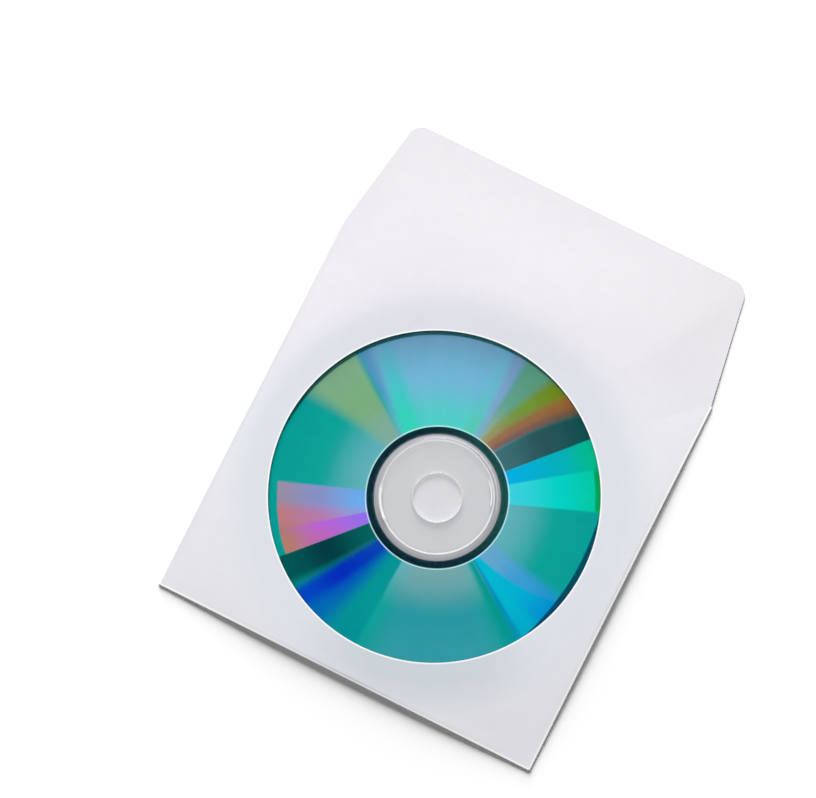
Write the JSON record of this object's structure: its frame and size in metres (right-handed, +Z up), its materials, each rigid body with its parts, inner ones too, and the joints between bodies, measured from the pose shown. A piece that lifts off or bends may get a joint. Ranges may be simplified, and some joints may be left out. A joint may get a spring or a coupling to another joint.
{
  "type": "cd sleeve",
  "caption": "Square paper disc sleeve with a round film window, an open sealing flap with its release strip, and a disc in the pocket.",
  "frame": {"origin": "middle of the bounding box at the surface that the sleeve lies on", "axes": "+X across the sleeve to the right, +Y from the bottom fold to the top flap, +Z up out of the face with the window"},
  "size_m": [0.127, 0.1618, 0.002],
  "materials": {
    "envelope_paper": "smooth white wove paper, matt",
    "liner_paper": "calendered cream release paper with small dark blue print",
    "clear_film": "thin clear glossy film",
    "paper_glue": "dried clear paper glue",
    "tacky_adhesive": "thin tacky adhesive coat",
    "clear_polycarbonate": "clear moulded polycarbonate",
    "reflecting_layer": "mirror layer that shows teal, blue, green and violet interference colours"
  },
  "bodies": {
    "root": {"envelope": "envelope_paper", "window_film": "clear_film", "window_glue": "paper_glue", "seam_glue_left": "paper_glue", "seam_glue_right": "paper_glue", "flap_adhesive": "tacky_adhesive", "release_liner": "liner_paper", "disc": "clear_polycarbonate", "recording_layer": "reflecting_layer"}
  },
  "joints": []
}
